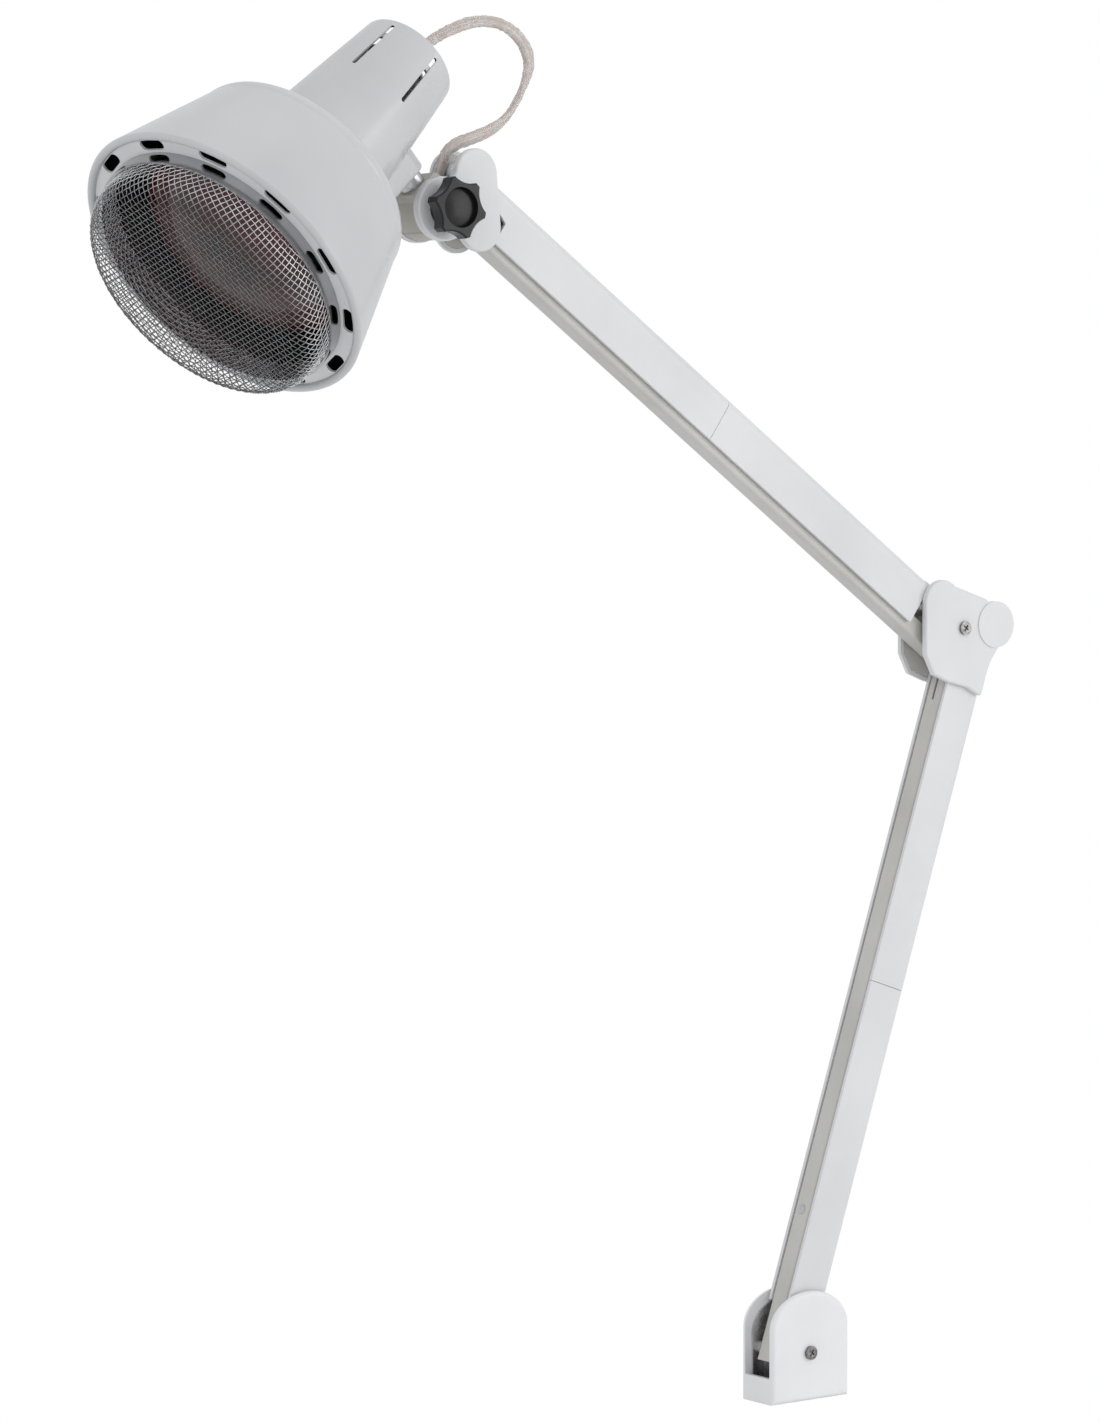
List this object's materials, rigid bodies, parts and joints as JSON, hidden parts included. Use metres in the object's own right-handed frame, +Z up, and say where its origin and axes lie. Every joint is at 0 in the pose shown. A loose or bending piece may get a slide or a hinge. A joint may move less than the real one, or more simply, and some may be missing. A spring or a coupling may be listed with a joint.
{
  "type": "infrared heat therapy lamp",
  "caption": "Balanced two-arm infrared lamp with covered parallelogram arms, a moulded elbow, a clamp-knob tilt joint and a vented conical shade whose mesh guard covers a red bulb.",
  "frame": {"origin": "mouth centre of the vertical spigot socket in the underside of the foot", "axes": "+Z up, arms swing in the XZ plane, shade reaches towards -X, pivots along Y"},
  "size_m": [0.5993, 0.1652, 0.761],
  "materials": {
    "white_plastic": "moulded white plastic with a soft sheen",
    "painted_steel": "glossy white enamel on sheet metal",
    "grey_steel": "warm grey enamel on pressed steel",
    "zinc_steel": "bright zinc plated steel",
    "knuckle_grey": "warm grey enamel on a cast block",
    "chrome": "polished chrome",
    "black_plastic": "black moulded plastic",
    "rubber_grey": "grey rubber",
    "porcelain": "glazed white porcelain",
    "red_glass": "dark red filter glass",
    "brass": "plain brass screw cap",
    "clear_lead": "clear flexible sheath over two pinkish cores"
  },
  "bodies": {
    "base": {"base_cover_near": "white_plastic", "base_cover_far": "white_plastic", "base_fork": "zinc_steel", "socket_bush": "zinc_steel", "base_screws": "zinc_steel", "base_pivot_pins": "zinc_steel", "base_pivot_sleeves": "zinc_steel"},
    "lower_arm": {"lower_bar": "zinc_steel", "lower_cover_bottom": "white_plastic", "lower_cover_top": "white_plastic", "lower_spring": "zinc_steel"},
    "lower_link": {"lower_channel": "grey_steel", "channel_rivet": "zinc_steel"},
    "elbow": {"elbow_shell_near": "white_plastic", "elbow_shell_far": "white_plastic", "elbow_plate_near": "grey_steel", "elbow_plate_far": "grey_steel", "elbow_screws": "zinc_steel", "elbow_pivot_pins": "zinc_steel", "elbow_sleeves": "zinc_steel"},
    "upper_arm": {"upper_bar": "zinc_steel", "upper_cover_rear": "white_plastic", "upper_cover_front": "white_plastic", "upper_spring": "zinc_steel"},
    "upper_link": {"upper_channel": "grey_steel"},
    "head_end": {"head_shell_near": "white_plastic", "head_shell_far": "white_plastic", "head_plate_near": "grey_steel", "head_plate_far": "grey_steel", "head_pivot_pins": "zinc_steel", "head_sleeves": "zinc_steel", "clamp_bolt": "zinc_steel", "clamp_washer": "zinc_steel"},
    "tilt_knob": {"clamp_knob": "black_plastic"},
    "knuckle": {"knuckle_block": "knuckle_grey", "swivel_bolt": "zinc_steel", "swivel_nut": "zinc_steel", "swivel_collar": "zinc_steel", "lead_grommet": "rubber_grey", "lamp_lead": "clear_lead"},
    "shade": {"shade_shell": "painted_steel", "vent_ring": "painted_steel", "guard_band": "chrome", "guard_mesh": "chrome", "holder_bracket": "painted_steel", "lamp_holder": "porcelain", "bulb_cap": "brass", "infrared_bulb": "red_glass", "shade_bracket": "painted_steel", "bracket_screws": "zinc_steel"}
  },
  "joints": [
    {"name": "lower_arm_lean", "type": "hinge", "parent": "base", "child": "lower_arm", "pos_m": [0.0039, 0, 0.0375], "axis": [0, 1, 0], "range_deg": [-48, 8], "deforming": ["lower_spring"]},
    {"name": "lower_link_follow", "type": "hinge", "parent": "base", "child": "lower_link", "pos_m": [-0.0163, 0, 0.0285], "axis": [0, 1, 0], "range_deg": [-48, 8]},
    {"name": "elbow_level", "type": "hinge", "parent": "lower_arm", "child": "elbow", "pos_m": [0.13691, 0, 0.43272], "axis": [0, 1, 0], "range_deg": [-8, 48]},
    {"name": "upper_arm_rise", "type": "hinge", "parent": "elbow", "child": "upper_arm", "pos_m": [0.09751, 0, 0.44542], "axis": [0, 1, 0], "range_deg": [-30, 24], "deforming": ["upper_spring"]},
    {"name": "upper_link_follow", "type": "hinge", "parent": "elbow", "child": "upper_link", "pos_m": [0.10001, 0, 0.41792], "axis": [0, 1, 0], "range_deg": [-30, 24]},
    {"name": "head_level", "type": "hinge", "parent": "upper_arm", "child": "head_end", "pos_m": [-0.22895, 0, 0.67656], "axis": [0, 1, 0], "range_deg": [-24, 30]},
    {"name": "shade_tilt", "type": "hinge", "parent": "head_end", "child": "knuckle", "pos_m": [-0.25065, 0, 0.65746], "axis": [0, 1, 0], "range_deg": [-70, 20]},
    {"name": "shade_swivel", "type": "hinge", "parent": "knuckle", "child": "shade", "pos_m": [-0.25065, 0, 0.65746], "axis": [0.6547, 0, -0.7559], "range_deg": [-50, 30], "deforming": ["lamp_lead"]},
    {"name": "knob_turn", "type": "hinge", "parent": "head_end", "child": "tilt_knob", "pos_m": [-0.25065, 0, 0.65746], "axis": [0, 1, 0], "range_deg": [-180, 180]}
  ],
  "couplings": [
    {"joint": "lower_link_follow", "follows": "lower_arm_lean", "ratio": 1},
    {"joint": "elbow_level", "follows": "lower_arm_lean", "ratio": -1},
    {"joint": "upper_link_follow", "follows": "upper_arm_rise", "ratio": 1},
    {"joint": "head_level", "follows": "upper_arm_rise", "ratio": -1}
  ]
}
